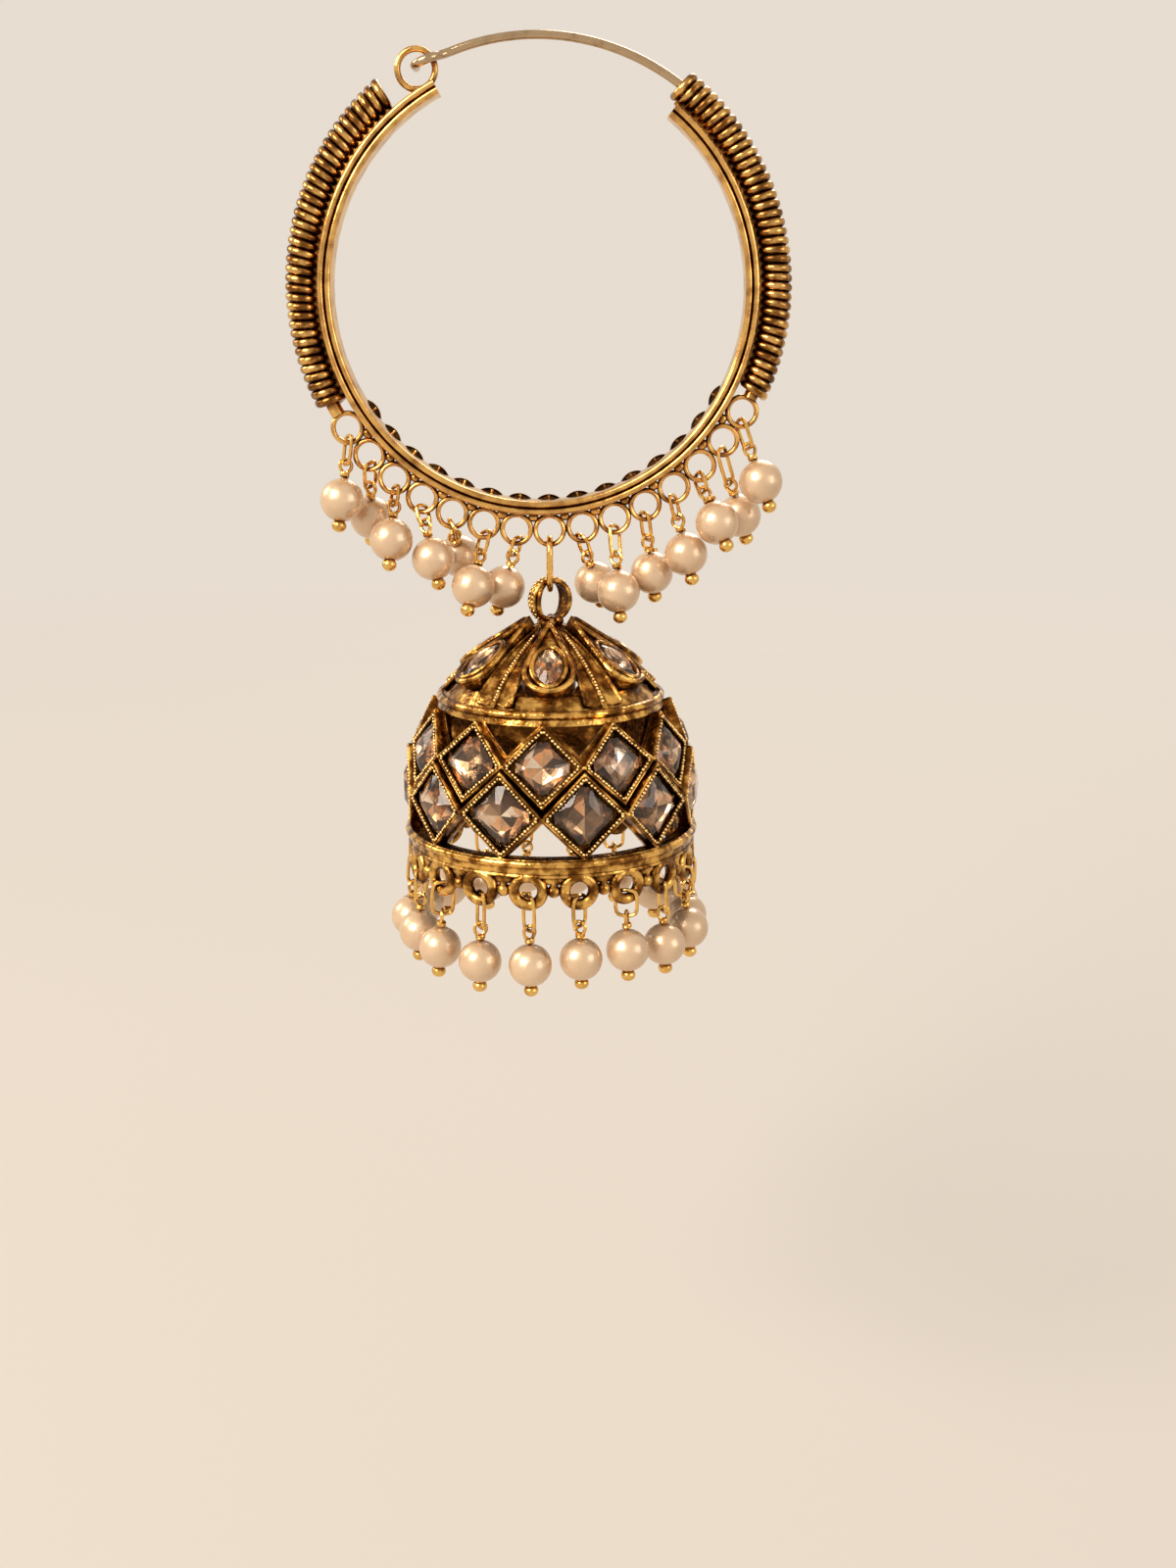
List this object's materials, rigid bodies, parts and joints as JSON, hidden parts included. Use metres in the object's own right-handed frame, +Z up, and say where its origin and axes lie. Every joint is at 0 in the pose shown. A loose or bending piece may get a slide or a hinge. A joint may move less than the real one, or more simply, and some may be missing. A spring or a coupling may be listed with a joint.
{
  "type": "jhumka earring",
  "caption": "Jhumka earring: an open hoop with wound coils and a ribbed band fringed with pearls, and a hollow bell set with cut stones and edged with pearls hung from it.",
  "frame": {"origin": "centre line of the ear wire at its highest point, where the earring hangs in the ear", "axes": "+Z up, the hoop stands in the XZ plane and -Y is its front"},
  "size_m": [0.0566, 0.0389, 0.1053],
  "materials": {
    "hoop_gold": "polished gold plating",
    "coil_gold": "polished gold plating",
    "wire_gold": "polished gold plating",
    "bell_gold": "gold plating, granular in its recesses",
    "stone": "clear cut glass over foil",
    "pearl": "pearl lustre"
  },
  "bodies": {
    "hoop": {"hoop_frame": "hoop_gold", "coil_left": "coil_gold", "coil_right": "coil_gold", "ear_wire": "wire_gold", "hoop_links": "wire_gold", "hoop_pins": "wire_gold", "hoop_pearl_01": "pearl", "hoop_pearl_02": "pearl", "hoop_pearl_03": "pearl", "hoop_pearl_04": "pearl", "hoop_pearl_05": "pearl", "hoop_pearl_06": "pearl", "hoop_pearl_07": "pearl", "hoop_pearl_08": "pearl", "hoop_pearl_09": "pearl", "hoop_pearl_10": "pearl", "hoop_pearl_11": "pearl", "hoop_pearl_12": "pearl", "hoop_pearl_13": "pearl", "hoop_pearl_14": "pearl"},
    "hanger": {"bell_hanger": "wire_gold"},
    "bell": {"bell_shell": "bell_gold", "cap_stones": "stone", "upper_stones": "stone", "lower_stones": "stone", "bell_links": "wire_gold", "bell_pins": "wire_gold", "bell_pearl_01": "pearl", "bell_pearl_02": "pearl", "bell_pearl_03": "pearl", "bell_pearl_04": "pearl", "bell_pearl_05": "pearl", "bell_pearl_06": "pearl", "bell_pearl_07": "pearl", "bell_pearl_08": "pearl", "bell_pearl_09": "pearl", "bell_pearl_10": "pearl", "bell_pearl_11": "pearl", "bell_pearl_12": "pearl", "bell_pearl_13": "pearl", "bell_pearl_14": "pearl", "bell_pearl_15": "pearl", "bell_pearl_16": "pearl", "bell_pearl_17": "pearl", "bell_pearl_18": "pearl"}
  },
  "joints": [
    {"name": "hanger_swing", "type": "hinge", "parent": "hoop", "child": "hanger", "pos_m": [0.00106, 0, -0.05458], "axis": [1, 0, 0], "range_deg": [-12, 12]},
    {"name": "bell_swing", "type": "hinge", "parent": "hanger", "child": "bell", "pos_m": [0.00106, 0, -0.05978], "axis": [0, 1, 0], "range_deg": [-8, 8]}
  ]
}
